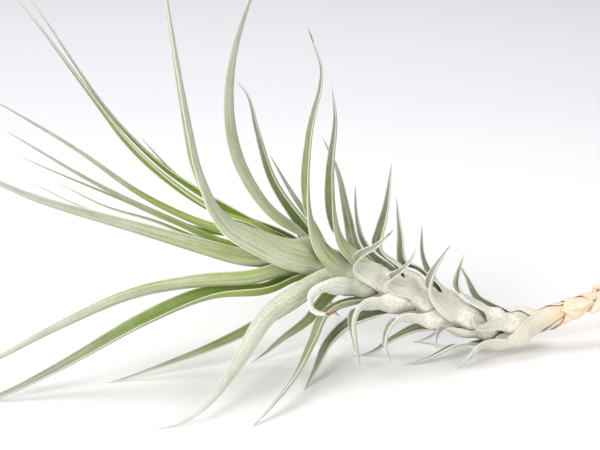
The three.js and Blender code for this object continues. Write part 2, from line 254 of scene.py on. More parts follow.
# What both kinds of leaf share. A pair of numbers is where a change starts and where it is complete.
leafFinish = {
    "half": 0.45, "greyFrom": 0.9,       # shares of the blade with the half-way and the full tip colour
    "faceTurns": (0.45, 0.55),           # from the outer face to the inner one, round the margin
    "heartOuter": "90a32a", "heartInner": "7e9a10", "heartFade": (0.65, 0.1),
    "veinsPerMm": 1.25, "veinWaver": 0.12,
    "veins": 0.42, "veinsLessInHeart": 0.24, "veinsLessInside": 0.12,
    "silverBetween": 0.82, "silverOnVeins": 0.36, "heartBare": 0.4,
    "scaleSize": 0.26, "patches": 0.4,
    "frost": "f0efe6", "frostTurns": (0.35, 0.9),
    "oldSheath": "dfdac6", "sheathVeins": 0.3,
    "creaseNoise": (0.6, 4, 0.65), "creaseFade": (0.6, 0.38), "creases": 0.6,
    "rootTan": "ecd0a8", "tanFade": (15.0, -9.0), "tanWithAge": 1.4,     # mm up the sheath
    "toneSpread": 0.05,
    "rimFade": (1.0, 0.45), "rimStrength": 0.75,
    "withered": ("b28a54", "5e4632"),    # a dried tip, and its dark patches
    "scaleRoughness": 0.12, "sheenRoughness": 0.5, "specular": 0.3,
    "scaleLift": 0.4, "veinLift": 1.1, "creaseLift": 2.2,
    "bump": 0.5, "bumpDepth": 0.18 * mm,
}
storedValues = ("blade", "share", "heart", "inside", "fromTip", "fromRim", "dryReach", "frost", "age",
                "paleSheath", "tone")


def readLeaf(tree):  # the values stored on each point of a skin, and what several parts of the look need
    leaf = {name: readAttribute(tree, name) for name in storedValues}
    leaf["place"] = readAttribute(tree, "leafPlace", "Vector")
    leaf["innerFace"] = softStep(tree, leaf["inside"], *leafFinish["faceTurns"])
    nearBase = softStep(tree, leaf["share"], *leafFinish["heartFade"])
    leaf["youngBase"] = doMath(tree, "MULTIPLY", leaf["heart"], nearBase)
    leaf["veins"] = useGroup(tree, veinsGroup, {
        "Place": leaf["place"], "PerMillimetre": leafFinish["veinsPerMm"], "Waver": leafFinish["veinWaver"],
    })
    return leaf


def alongBlade(tree, share, codes):
    base, half, tip = codes
    lower = mixColour(tree, softStep(tree, share, 0.0, leafFinish["half"]), base, half)
    return mixColour(tree, softStep(tree, share, leafFinish["half"], leafFinish["greyFrom"]), lower, tip)


def bladeColour(tree, look, leaf):  # green with fine silver lines, before the scales
    faces = []
    for face, young in (("outer", "heartOuter"), ("inner", "heartInner")):
        along = alongBlade(tree, leaf["share"], look[face])
        faces.append(mixColour(tree, leaf["youngBase"], along, leafFinish[young]))
    green = mixColour(tree, leaf["innerFace"], *faces)
    lessInside = doMath(tree, "MULTIPLY", leaf["innerFace"], leafFinish["veinsLessInside"])
    less = doMath(tree, "MULTIPLY_ADD", leaf["youngBase"], leafFinish["veinsLessInHeart"], lessInside)
    strength = doMath(tree, "SUBTRACT", leafFinish["veins"], less)
    lines = doMath(tree, "MULTIPLY", leaf["veins"]["Mask"], strength)
    return mixColour(tree, lines, green, look["silver"])


def bladeScales(tree, look, leaf):
    covers = []
    for face in ("outerCover", "innerCover"):
        inputs = {"Value": leaf["share"], "To Min": look[face][0], "To Max": look[face][1]}
        covers.append(addNode(tree, "ShaderNodeMapRange", inputs).outputs["Result"])
    inputs = {"Factor": leaf["innerFace"], 2: covers[0], 3: covers[1]}
    cover = addNode(tree, "ShaderNodeMix", inputs).outputs[0]
    onVeins, between = leafFinish["silverOnVeins"], leafFinish["silverBetween"]
    ribbed = doMath(tree, "MULTIPLY_ADD", leaf["veins"]["Mask"], onVeins, between)
    frosted = doMath(tree, "MULTIPLY", doMath(tree, "ADD", cover, leaf["frost"]), ribbed)
    bare = doMath(tree, "MULTIPLY", leaf["youngBase"], leafFinish["heartBare"])
    thinned = doMath(tree, "SUBTRACT", frosted, bare)
    return useGroup(tree, scalesGroup, {
        "Place": leaf["place"], "Size": leafFinish["scaleSize"],
        "Cover": thinned, "Patches": leafFinish["patches"],
    })


def sheathColour(tree, look, leaf, creases):  # pale and creased, and tan at the root of an old leaf
    pale = mixColour(tree, leaf["age"], look["sheath"], leafFinish["oldSheath"])
    lines = doMath(tree, "MULTIPLY", leaf["veins"]["Mask"], leafFinish["sheathVeins"])
    veined = mixColour(tree, lines, pale, look["sheathLine"])
    # darker where the crease noise runs low, in the valleys that the bump presses in
    darkerInWrinkleValleys = doMath(tree, "MULTIPLY", softStep(tree, creases, *leafFinish["creaseFade"]), leafFinish["creases"])
    mottled = mixColour(tree, darkerInWrinkleValleys, veined, look["sheathLine"])
    fromRoot = addNode(tree, "ShaderNodeSeparateXYZ", {0: leaf["place"]}).outputs["Y"]
    aged = doMath(tree, "MULTIPLY", leaf["age"], leafFinish["tanWithAge"], clamp=True)
    tanned = doMath(tree, "MULTIPLY", softStep(tree, fromRoot, *leafFinish["tanFade"]), aged)
    return mixColour(tree, tanned, mottled, leafFinish["rootTan"])


def marginAndTip(tree, look, leaf, body):  # each leaf's own brightness, its pale margin and its withered tip
    change = doMath(tree, "MULTIPLY", leaf["tone"], leafFinish["toneSpread"])
    inputs = {"Color": body, "Value": doMath(tree, "ADD", 1.0, change)}
    toned = addNode(tree, "ShaderNodeHueSaturation", inputs).outputs[0]
    nearRim = softStep(tree, leaf["fromRim"], *leafFinish["rimFade"])
    rim = doMath(tree, "MULTIPLY", nearRim, leafFinish["rimStrength"])
    edged = mixColour(tree, rim, toned, look["rim"])
    driedInputs = {"Place": leaf["place"], "FromTip": leaf["fromTip"], "Reach": leaf["dryReach"]}
    dried = useGroup(tree, driedGroup, driedInputs)
    brown = mixColour(tree, dried["Dark"], *leafFinish["withered"])
    return mixColour(tree, dried["Mask"], edged, brown)


def leafBump(tree, leaf, scales, creases, bladeShare):
    scaleLift = doMath(tree, "MULTIPLY", scales["Height"], leafFinish["scaleLift"])
    ribs = doMath(tree, "MULTIPLY_ADD", leaf["veins"]["Height"], leafFinish["veinLift"], scaleLift)
    papery = doMath(tree, "SUBTRACT", 1.0, bladeShare)
    creaseLift = doMath(tree, "MULTIPLY", papery, leafFinish["creaseLift"])
    lift = doMath(tree, "MULTIPLY_ADD", creases, creaseLift, ribs)
    return addBump(tree, leafFinish["bump"], leafFinish["bumpDepth"], lift)


def makeLeafMaterial(name):
    look = leafLooks[name]
    material, tree, surface = startMaterial(name)
    leaf = readLeaf(tree)
    scales = bladeScales(tree, look, leaf)
    whiter = softStep(tree, leaf["frost"], *leafFinish["frostTurns"])
    silver = mixColour(tree, whiter, look["silver"], leafFinish["frost"])
    blade = mixColour(tree, scales["Mask"], bladeColour(tree, look, leaf), silver)
    creases = noise(tree, leaf["place"], *leafFinish["creaseNoise"])
    sheath = sheathColour(tree, look, leaf, creases)
    greenSheath = doMath(tree, "SUBTRACT", 1.0, leaf["paleSheath"])
    bladeShare = doMath(tree, "MAXIMUM", softStep(tree, leaf["blade"], 0.0, 1.0), greenSheath)
    body = mixColour(tree, doMath(tree, "MAXIMUM", bladeShare, leaf["innerFace"]), sheath, blade)
    rougher = doMath(tree, "MULTIPLY", scales["Mask"], leafFinish["scaleRoughness"])
    fillInputs(tree, surface, {
        "Base Color": marginAndTip(tree, look, leaf, body),
        "Roughness": doMath(tree, "ADD", look["roughness"], rougher),
        "Normal": leafBump(tree, leaf, scales, creases, bladeShare),
        "Sheen Weight": look["sheen"],
        "Sheen Roughness": leafFinish["sheenRoughness"],
        "Specular IOR Level": leafFinish["specular"],
    })
    return material


# Dead sheaths and the bare stem under them.
dryLooks = {
    "drySheath": {
        "base": "e9ccaa", "pale": "f7e8d4", "stain": "c89468", "edge": "a5714a", "stains": 0.35,
        "roughness": 0.72,
    },
    "dryStem": {
        "base": "dcb890", "pale": "efd6b4", "stain": "b08258", "edge": "8a6040", "stains": 0.5,
        "roughness": 0.85,
    },
}
dryFinish = {
    "fibresPerMm": 1.3, "fibreWaver": 0.4,
    "stainNoise": (0.2, 5, 0.62), "stainFade": (0.52, 0.75),
    "tornFade": (2.0, 0.2),              # widths of the margin from the rim
    "witheredFade": (4.0, 0.5),          # mm from the end
    "brownPatches": (0.42, 0.62), "brown": 0.7,
    "stainLift": 0.7, "bump": 0.5, "bumpDepth": 0.25 * mm,
}


def makeDryMaterial(name):
    look = dryLooks[name]
    material, tree, surface = startMaterial(name)
    place = readAttribute(tree, "leafPlace", "Vector")
    fibres = useGroup(tree, veinsGroup, {
        "Place": place, "PerMillimetre": dryFinish["fibresPerMm"], "Waver": dryFinish["fibreWaver"],
    })
    stains = noise(tree, place, *dryFinish["stainNoise"])
    paper = mixColour(tree, fibres["Mask"], look["base"], look["pale"])
    stainShare = doMath(tree, "MULTIPLY", softStep(tree, stains, *dryFinish["stainFade"]), look["stains"])
    stained = mixColour(tree, stainShare, paper, look["stain"])
    torn = softStep(tree, readAttribute(tree, "fromRim"), *dryFinish["tornFade"])
    withered = softStep(tree, readAttribute(tree, "fromTip"), *dryFinish["witheredFade"])
    patches = softStep(tree, stains, *dryFinish["brownPatches"])
    brownShare = doMath(tree, "MULTIPLY", doMath(tree, "MAXIMUM", torn, withered), patches)
    brown = doMath(tree, "MULTIPLY", brownShare, dryFinish["brown"])
    lift = doMath(tree, "ADD", fibres["Height"], doMath(tree, "MULTIPLY", stains, dryFinish["stainLift"]))
    fillInputs(tree, surface, {
        "Base Color": mixColour(tree, brown, stained, look["edge"]),
        "Roughness": look["roughness"],
        "Normal": addBump(tree, dryFinish["bump"], dryFinish["bumpDepth"], lift),
    })
    return material


materials = {name: makeLeafMaterial(name) for name in leafLooks}
materials.update({name: makeDryMaterial(name) for name in dryLooks})
print("materials:", ", ".join(materials))


# Reading a leaf of the frame: its sections from the root to the tip.
def sharedCorners(node):
    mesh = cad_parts[node].data
    places = {}
    renumbered = [places.setdefault(tuple(v.co), len(places)) for v in mesh.vertices]
    faces = [[renumbered[i] for i in polygon.vertices] for polygon in mesh.polygons]
    return np.array(list(places)), faces


def neighboursOf(count, faces):
    near = [set() for _ in range(count)]
    for face in faces:
        for one in face:
            near[one].update(other for other in face if other != one)
    return near


def ringsFromTip(near, size):
    for tip in (i for i, around in enumerate(near) if len(around) == size):
        seen, rings, edge = {tip}, [], [tip]
        while edge:
            edge = list(dict.fromkeys(j for i in edge for j in sorted(near[i]) if j not in seen))
            seen.update(edge)
            if edge:
                rings.append(edge)
        if all(len(ring) == size for ring in rings):
            return tip, rings
    raise ValueError("no tip with even rings below it")


def followedRings(near, rings, walk):
    size = len(walk)
    ordered = [walk]
    for ring in rings[1:]:
        members = set(ring)
        nextTo = [near[walk[k]] & near[walk[(k + 1) % size]] for k in range(size)]
        walk = [next(i for i in around if i in members) for around in nextTo]
        ordered.append(walk)
    return ordered


def orderedRings(corners, near, rings):  # the same place in every ring is the same line along the leaf
    members = set(rings[0])
    walk = [rings[0][0]]
    while len(walk) < len(members):
        walk.append(next(i for i in sorted(near[walk[-1]]) if i in members and i not in walk))
    both = []
    for way in (walk, walk[::-1]):
        both.append(np.array([corners[ring] for ring in followedRings(near, rings, way)]))
    return min(both, key=lambda loops: np.linalg.norm(np.diff(loops, axis=0), axis=2).sum())[::-1]


def leafSections(node, side):  # outer and inner corners of each section, root first, and the tip
    corners, faces = sharedCorners(node)
    near = neighboursOf(len(corners), faces)
    tip, rings = ringsFromTip(near, 2 * side)
    loops = orderedRings(corners, near, rings)
    edges = np.linalg.norm(loops[0] - np.roll(loops[0], -1, axis=0), axis=1)
    seam = min(range(side), key=lambda i: edges[i] + edges[i + side])  # the short edges are the margins
    loops = np.roll(loops, -(seam + 1), axis=1)
    one, other = loops[:, :side], loops[:, side:][:, ::-1]
    widths = [np.linalg.norm(np.diff(face[0], axis=0), axis=1).sum() for face in (one, other)]
    outer, inner = (one, other) if widths[0] > widths[1] else (other, one)
    return outer, inner, corners[tip]


# Smooth curves through the frame's corners, the same for every column of points.
def smoothThrough(points, knots, places):
    shape = (-1,) + (1,) * (points.ndim - 1)
    steps = np.diff(knots)
    slopes = np.diff(points, axis=0) / steps.reshape(shape)
    weight = (steps[1:] / (steps[1:] + steps[:-1])).reshape(shape)
    tangents = np.empty_like(points)
    tangents[1:-1] = slopes[:-1] * weight + slopes[1:] * (1 - weight)
    tangents[0] = 2 * slopes[0] - tangents[1]
    tangents[-1] = 2 * slopes[-1] - tangents[-2]
    part = np.clip(np.searchsorted(knots, places, side="right") - 1, 0, len(steps) - 1)
    t = ((places - knots[part]) / steps[part]).reshape(shape)
    width = steps[part].reshape(shape)
    return ((2 * t**3 - 3 * t**2 + 1) * points[part] + (t**3 - 2 * t**2 + t) * width * tangents[part]
            + (3 * t**2 - 2 * t**3) * points[part + 1] + (t**3 - t**2) * width * tangents[part + 1])


def lengthsAlong(points):  # from the first point, along the line through all of them
    return np.concatenate([[0], np.cumsum(np.linalg.norm(np.diff(points, axis=0), axis=1))])


def edgeWeighted(count):  # 0 to 1, closer together near both ends
    return 0.5 - 0.5 * np.cos(np.linspace(0, math.pi, count))


def smoothStep(value, start, end):
    t = np.clip((value - start) / (end - start), 0, 1)
    return t * t * (3 - 2 * t)


def unit(vectors):
    nearlyNone = 1e-12
    return vectors / np.maximum(np.linalg.norm(vectors, axis=-1, keepdims=True), nearlyNone)


# Stem: the frame's rings, and a line through their middles that the sheaths are wrapped round.
stemShape = {
    "sides": 10,               # of the frame's rings
    "finer": 3, "finerRound": 2,
    "step": 1 * mm,            # between the marks on the line
    "pastEnd": 30 * mm,        # how far the line goes on straight, past the stem's living end
    "bareRadius": 2.8 * mm,
    "noRim": 9.0,              # widths of a margin, far enough to keep torn edges off the wood
    "seed": 90,
}


def readStem():
    corners, faces = sharedCorners("stem")
    near = neighboursOf(len(corners), faces)
    tip, rings = ringsFromTip(near, stemShape["sides"])
    return orderedRings(corners, near, rings), corners[tip]


stemLoops, stemTip = readStem()


def makeStemLine():
    middles = stemLoops.mean(axis=1)
    knots = lengthsAlong(middles)
    marks = np.arange(0, knots[-1] + stemShape["pastEnd"], stemShape["step"])
    within = np.minimum(marks, knots[-1])
    centre = smoothThrough(middles, knots, within)
    tangent = unit(np.gradient(centre[marks <= knots[-1]], axis=0))
    tangent = np.concatenate([tangent, np.repeat(tangent[-1:], len(marks) - len(tangent), axis=0)])
    centre = centre + tangent * (marks - within)[:, None]
    side = smoothThrough(stemLoops[:, 0] - middles, knots, within)
    side = unit(side - (side * tangent).sum(axis=1, keepdims=True) * tangent)
    return {"marks": marks, "centre": centre, "tangent": tangent, "side": side, "up": np.cross(tangent, side)}


stemLine = makeStemLine()


def roundStemOf(points):  # distance along the stem, turn round it and distance from its middle
    flat = points.reshape(-1, 3)
    nearest = np.linalg.norm(flat[:, None] - stemLine["centre"][None], axis=2).argmin(axis=1)
    centre, tangent, side, up = (stemLine[key][nearest] for key in ("centre", "tangent", "side", "up"))
    away = flat - centre
    ahead = (away * tangent).sum(axis=1)
    turn = np.arctan2((away * up).sum(axis=1), (away * side).sum(axis=1))
    out = np.linalg.norm(away - ahead[:, None] * tangent, axis=1)
    shape = points.shape[:-1]
    return (stemLine["marks"][nearest] + ahead).reshape(shape), turn.reshape(shape), out.reshape(shape)


def placeRoundStem(distance, turn, out):
    at = distance / stemShape["step"]
    low = np.clip(np.floor(at).astype(int), 0, len(stemLine["marks"]) - 2)
    part = (at - low)[..., None]
    centre, side, up = (
        stemLine[key][low] * (1 - part) + stemLine[key][low + 1] * part for key in ("centre", "side", "up")
    )
    outward = side * np.cos(turn)[..., None] + up * np.sin(turn)[..., None]
    return centre + outward * out[..., None], outward


# Underlay: how far out from the stem's middle the sheaths made so far reach, in every place round it.
underlay = {
    "turns": 120,                          # cells round the stem
    "smooth": 2,                           # times
    "finerAlong": 4, "finerAcross": 6,     # points of a sheath for each one of its grid, so no cell is missed
}
reachMap = np.full((len(stemLine["marks"]), underlay["turns"]), stemShape["bareRadius"])


def softenedReach():
    soft = reachMap
    for _ in range(underlay["smooth"]):
        wide = np.maximum(soft, np.maximum(np.roll(soft, 1, axis=1), np.roll(soft, -1, axis=1)))
        around = (np.roll(wide, 1, axis=1) + wide + np.roll(wide, -1, axis=1)) / 3
        padded = np.concatenate([around[:1], around, around[-1:]])
        soft = np.maximum(soft, (padded[:-2] + padded[1:-1] + padded[2:]) / 3)
    return soft


def reachCells(distance, turn):
    row = np.clip(np.round(distance / stemShape["step"]).astype(int), 0, len(stemLine["marks"]) - 1)
    column = np.round(turn / (2 * math.pi) * underlay["turns"]).astype(int) % underlay["turns"]
    return row, column


def addToReach(points):
    rows = np.linspace(0, len(points) - 1, len(points) * underlay["finerAlong"])
    columns = np.linspace(0, points.shape[1] - 1, points.shape[1] * underlay["finerAcross"])
    low = np.minimum(rows.astype(int), len(points) - 2)
    finer = points[low] + (points[low + 1] - points[low]) * (rows - low)[:, None, None]
    low = np.minimum(columns.astype(int), points.shape[1] - 2)
    finer = finer[:, low] + (finer[:, low + 1] - finer[:, low]) * (columns - low)[None, :, None]
    distance, turn, out = roundStemOf(finer)
    np.maximum.at(reachMap, reachCells(distance, turn), out)


# Skin: how finely a leaf is remade, and how thin its margin is drawn.
skin = {
    "columns": 17, "step": 1.9 * mm, "fewestRows": 24,
    "marginThickness": 0.3, "marginCurve": 6,
    "margin": 0.45 * mm, "marginShare": 0.07,  # width of the pale margin, and at most this share of the blade
    # Where the ripples of a shoulder are ironed out, from the end of the sheath, and over what reach.
    "clasped": {"from": -6 * mm, "to": 34 * mm, "reach": 3.5 * mm},
    "open": {"from": -30 * mm, "to": 75 * mm, "reach": 11 * mm},
    "ironStarts": 4 * mm, "ironEnds": 4,       # half of the soft start, and the soft end in reaches
    "apart": 37.0,                             # mm between the patterns of one leaf and of the next
}

# Wrapping: how a sheath clasps the stem, swells below its blade and narrows into it. Places along a
# leaf are measured from the end of its sheath, up the blade.
wrapping = {
    "leaf": {"widen": 1.0, "hugFrom": 0.45, "rootHug": 0.45, "swell": 2.4 * mm},
    "dry": {"widen": 0.42, "hugFrom": 0.1, "rootHug": 0.3, "swell": 0.5 * mm},
    "widenUntil": 0.85,        # share of the sheath
    "swellAt": -6 * mm, "swellReach": 5.5 * mm,
    "narrowFrom": -6 * mm, "narrowTo": 5 * mm, "bladeAt": 12 * mm,
    "freeFrom": -1 * mm, "freeTo": 7 * mm,
    "clear": 0.15 * mm,
}


def smoothShoulder(grid, places, past, rules):  # irons out the ripples between the sheath and the blade
    gaps = (places[:, None] - places[None, :]) / rules["reach"]
    weights = np.exp(-gaps**2)
    weights[[0, -1]] = np.eye(len(places))[[0, -1]]
    smooth = np.tensordot(weights / weights.sum(axis=1, keepdims=True), grid, axes=1)
    rise = smoothStep(past, rules["from"] - skin["ironStarts"], rules["from"] + skin["ironStarts"])
    share = rise * (1 - smoothStep(past, rules["to"] - skin["ironEnds"] * rules["reach"], rules["to"]))
    return grid + (smooth - grid) * share[:, None, None]


def keptWidths(along, past):  # the share of each row's width that is left where a sheath narrows
    widths = np.linalg.norm(np.diff((along[0] + along[1]) / 2, axis=1), axis=2).sum(axis=1)
    bladeWidth = np.interp(wrapping["bladeAt"], past, widths)
    share = smoothStep(past, wrapping["narrowFrom"], wrapping["narrowTo"])
    wanted = np.minimum(widths, widths + (bladeWidth - widths) * share)
    nearlyNone = 1e-9
    return np.where(past < wrapping["bladeAt"], wanted / np.maximum(widths, nearlyNone), 1.0)


def leafGrid(node, facts):
    side = facts["cornersPerSide"]
    outer, inner, tip = leafSections(node, side)
    outer, inner = (np.concatenate([face, np.broadcast_to(tip, (1, side, 3))]) for face in (outer, inner))
    knots = lengthsAlong((outer[:, side // 2] + inner[:, side // 2]) / 2)
    count = max(skin["fewestRows"], round(knots[-1] / skin["step"]))
    places = np.interp(np.linspace(0, 1, count), np.linspace(0, 1, len(knots)), knots)
    along = [smoothThrough(face, knots, places) for face in (outer, inner)]
    past = places - knots[facts["sheathSections"] - 1]
    kept = keptWidths(along, past) if facts["wrap"] == "leaf" else np.ones(count)
    across = edgeWeighted(skin["columns"])
    acrossKnots = np.linspace(0, 1, side)
    faces = []
    for face in along:
        rows = [smoothThrough(face[r], acrossKnots, 0.5 + (across - 0.5) * kept[r]) for r in range(count)]
        faces.append(np.array(rows))
    middle, half = (faces[0] + faces[1]) / 2, (faces[0] - faces[1]) / 2
    if facts["wrap"] == "leaf":
        rules = skin["clasped" if facts["clasp"] else "open"]
        middle, half = (smoothShoulder(grid, places, past, rules) for grid in (middle, half))
    return middle, half, places, across, past, knots


def wrapSheath(middle, half, past, across, facts):
    rules = wrapping[facts["wrap"]]
    isLeaf = facts["wrap"] == "leaf"
    near = past < (wrapping["freeTo"] if isLeaf else np.inf)
    distance, turn, out = roundStemOf(middle[near])
    keelColumn = len(across) // 2
    away = (turn - turn[:, keelColumn:keelColumn + 1] + math.pi) % (2 * math.pi) - math.pi
    sheathLength = -past[0] if isLeaf else past[-1] - past[0]
    share = np.clip((past[near] - past[0]) / sheathLength, 0, 1)[:, None]
    wider = rules["widen"] * facts["clasp"] * (1 - smoothStep(share, 0, wrapping["widenUntil"]))
    newTurn = turn + away * wider
    held = 1 - smoothStep(past[near], wrapping["freeFrom"], wrapping["freeTo"])[:, None]
    if not isLeaf:
        held = np.ones_like(held)
    held = held * facts["clasp"]
    fromKeel = np.abs(2 * across - 1)[None, :]
    swellPast = past[near][:, None] - wrapping["swellAt"] if isLeaf else (share - 0.5) * sheathLength
    bulge = np.exp(-(swellPast / wrapping["swellReach"]) ** 2) * (1 - fromKeel**2)
    swell = rules["swell"] * bulge * facts["plump"] * facts["clasp"]
    thickness = np.linalg.norm(half[near], axis=2)
    under = softenedReach()[reachCells(distance, newTurn)] + thickness + wrapping["clear"]
    hugSides, hugRoot = smoothStep(fromKeel, rules["hugFrom"], 1), 1 - smoothStep(share, 0, rules["rootHug"])
    hug = np.maximum(hugSides, hugRoot) * held
    wanted = (out + swell) * (1 - hug) + under * hug
    newOut = wanted + np.maximum(under - wanted, 0) * held
    old, _ = placeRoundStem(distance, turn, out)
    new, outward = placeRoundStem(distance, newTurn, newOut)
    middle[near] += new - old
    turned = unit(half[near] * (1 - held[..., None]) + outward * held[..., None] * thickness[..., None])
    half[near] = turned * thickness[..., None]
    inSheath = int(np.searchsorted(past, 0)) if isLeaf else len(past) - 1
    addToReach(middle[:inSheath] + half[:inSheath])


def extendRoot(middle, half, places, facts):  # carries a sheath on down the stem, close to it
    if not facts["rootReach"]:
        return middle, half, places
    rows = math.ceil(facts["rootReach"] / skin["step"])
    back = np.linspace(facts["rootReach"], 0, rows, endpoint=False)[:, None]
    distance, turn, _ = roundStemOf(middle[0])
    thickness = np.linalg.norm(half[0], axis=1)
    distances, turns = np.maximum(distance[None] - back, 0), np.repeat(turn[None], rows, axis=0)
    under = softenedReach()[reachCells(distances, turns)] + thickness + wrapping["clear"]
    points, outward = placeRoundStem(distances, turns, under)
    halves = outward * thickness[None, :, None]
    addToReach(points + halves)
    longer = zip((points, halves, -back[:, 0]), (middle, half, places))
    return tuple(np.concatenate(pair) for pair in longer)


def tubeFaces(rows, size):  # quads from ring to ring, and triangles from the last one to the tip
    faces = []
    for r in range(rows - 1):
        for i in range(size):
            j = (i + 1) % size
            faces.append((r * size + i, r * size + j, (r + 1) * size + j, (r + 1) * size + i))
    last = (rows - 1) * size
    return faces + [(last + i, last + (i + 1) % size, last + size) for i in range(size)]


def rootFaces(size, columns):  # closes a leaf's first ring, from one margin to the other
    quads = [(i, size - i, size - i - 1, i + 1) for i in range(1, columns)]
    return [(0, size - 1, 1)] + quads + [(columns, columns + 2, columns + 1)]


def marginPoints(middle, thickness, end, beside):  # rounds the margin off by half its thickness
    away = unit(middle[:, end] - middle[:, beside])
    return (middle[:, end] + away * thickness[:, end, None] / 2)[:, None]


def buildLeaf(node, pieceName, facts):
    middle, half, places, across, past, knots = leafGrid(node, facts)
    wrapSheath(middle, half, past, across, facts)
    middle, half, places = extendRoot(middle, half, places, facts)
    tip = middle[-1, :1]
    rows, columns = len(middle) - 1, middle.shape[1]
    middle, half = middle[:rows], half[:rows]
    thin = 1 - (1 - skin["marginThickness"]) * np.abs(2 * across - 1) ** skin["marginCurve"]
    outer, inner = middle + half * thin[None, :, None], middle - half * thin[None, :, None]
    thickness = np.linalg.norm(outer - inner, axis=2)
    left, right = marginPoints(middle, thickness, 0, 1), marginPoints(middle, thickness, -1, -2)
    points = np.concatenate([left, outer, right, inner[:, ::-1]], axis=1)
    points[:, :, 2] = np.maximum(points[:, :, 2], 0)  # nothing goes below the surface it lies on
    size = points.shape[1]
    gaps = np.linalg.norm(np.diff(middle, axis=1), axis=2)
    fromLeft = np.concatenate([np.zeros((rows, 1)), np.cumsum(gaps, axis=1)], axis=1)
    marginWidth = np.minimum(skin["margin"], fromLeft[:, -1:] * skin["marginShare"])
    fromRim = np.minimum(fromLeft, fromLeft[:, -1:] - fromLeft) / marginWidth  # 1 where the pale margin ends
    rim = np.zeros((rows, 1))
    meanAcross = fromLeft.mean(axis=0)
    table = {
        "across": np.concatenate([[0], meanAcross, meanAcross[-1:], meanAcross[::-1]]),
        "inside": np.concatenate([[0.5], np.zeros(columns), [0.5], np.ones(columns)]),
        "fromRim": np.concatenate([rim, fromRim, rim, fromRim[:, ::-1]], axis=1),
    }
    vertices = np.concatenate([points.reshape(-1, 3), tip])
    faces = tubeFaces(rows, size) + rootFaces(size, columns)
    return makeMeshPiece(pieceName, vertices, faces, rows, places, table, knots, facts)


def signedVolume(vertices, faces):
    total = 0.0
    for face in faces:
        for k in range(1, len(face) - 1):
            total += np.dot(vertices[face[0]], np.cross(vertices[face[k]], vertices[face[k + 1]]))
    return total


def makeMeshPiece(name, vertices, faces, rows, places, table, knots, facts):
    if signedVolume(vertices, faces) < 0:
        faces = [tuple(reversed(face)) for face in faces]
    mesh = bpy.data.meshes.new(name)
    mesh.from_pydata(vertices.tolist(), [], faces)
    mesh.validate()
    mesh.shade_smooth()
    size = len(table["across"])
    along = np.append(np.repeat(places[:rows], size), places[-1])
    across = np.append(np.tile(table["across"], rows), table["across"].mean())
    start, length = knots[facts["sheathSections"] - 1], knots[-1]
    stored = {
        "inside": np.append(np.tile(table["inside"], rows), 0.5),
        "fromRim": np.append(table["fromRim"].ravel(), 1),
        "blade": np.clip((along - start) / facts["fade"], 0, 1),
        "share": np.clip((along - start) / (length - start), 0, 1),
        "fromTip": (length - along) / mm,
    }
    for key in storedValues:
        values = stored.get(key, np.full(len(along), facts.get(key, 0.0)))
        mesh.attributes.new(key, "FLOAT", "POINT").data.foreach_set("value", values.astype(np.float32))
    place = np.stack([across / mm, along / mm, np.full(len(along), facts["seed"] * skin["apart"])], axis=1)
    placeAttribute = mesh.attributes.new("leafPlace", "FLOAT_VECTOR", "POINT")
    placeAttribute.data.foreach_set("vector", place.ravel().astype(np.float32))
    return addObject(name, mesh)


# Leaves. The numbers are the frame's, from the oldest leaf to the youngest.
leafFacts = {
    "sheathSections": 5, "cornersPerSide": 5,      # of the frame's leaves
    "oldLeaves": 21,
    "fade": 14 * mm,           # how far the pale sheath colour runs into the blade
    "usualDryTip": 1.2,        # mm of withered tip on most leaves
    "dryTips": {10: 3, 18: 3, 20: 5, 22: 4, 25: 7, 27: 8, 30: 3},
    "heartFrom": 31, "heartFull": 37, "heartFlatter": 0.8,
    "lush": {31: 0.1, 32: 0.7, 33: 0.15, 34: 0.5, 35: 0.45, 36: 1},      # how green the base is
    "greenSheathFrom": 31, "greenSheathOver": 4,   # leaves over which the sheaths turn green
    "creamUntil": 4,           # the oldest sheaths turn cream, and reach down the stem
    "rootReach": 11 * mm,
    "frosted": {13: 0.2, 18: 0.15, 22: 0.3, 25: 0.85, 29: 0.62,      # silver added to the usual cover
                30: 0.1, 31: 0.39, 33: 0.25, 34: 0.33, 35: 0.3},
    "openSheaths": (32, 34),   # with all from openFrom on, these don't clasp the stem closely
    "openFrom": 35,
    "toneSeed": 11,
}


def leafFactsOf(number, tone):
    heart = (number - leafFacts["heartFrom"]) / (leafFacts["heartFull"] - leafFacts["heartFrom"])
    heart = min(max(heart, 0), 1)
    pale = (leafFacts["greenSheathFrom"] - number) / leafFacts["greenSheathOver"]
    isOpen = number >= leafFacts["openFrom"] or number in leafFacts["openSheaths"]
    return {
        "wrap": "leaf",
        "sheathSections": leafFacts["sheathSections"],
        "cornersPerSide": leafFacts["cornersPerSide"],
        "seed": number,
        "fade": leafFacts["fade"],
        "heart": leafFacts["lush"].get(number, heart),
        "paleSheath": min(max(pale, 0), 1),
        "plump": 1 - leafFacts["heartFlatter"] * heart,
        "clasp": 0 if isOpen else 1,
        "age": max(0, 1 - (number - 1) / leafFacts["creamUntil"]),
        "rootReach": leafFacts["rootReach"] if number <= leafFacts["creamUntil"] else 0,
        "tone": tone,
        "frost": leafFacts["frosted"].get(number, 0),
        "dryReach": leafFacts["dryTips"].get(number, leafFacts["usualDryTip"]),
    }


def dressLeaves():
    random = np.random.default_rng(leafFacts["toneSeed"])
    tones = random.uniform(-1, 1, len(leafNodes))
    for node in reversed(leafNodes):
        number = int(node.split("_")[1])
        old = number <= leafFacts["oldLeaves"]
        piece = buildLeaf(node, node + "_skin", leafFactsOf(number, tones[number - 1]))
        piece.data.materials.append(materials["oldLeaf" if old else "rosetteLeaf"])
        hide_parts(node)
        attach(piece, "root")


dressLeaves()
print("leaves dressed:", len(leafNodes))

# Dry sheaths: wrapped all the way, over the living ones. Their seeds follow on from the one here.
dryFacts = {
    "wrap": "dry", "sheathSections": 1, "cornersPerSide": 7, "fade": 24 * mm, "seed": 60,
    "plump": 1, "clasp": 1, "rootReach": 0, "paleSheath": 1, "age": 1,
}


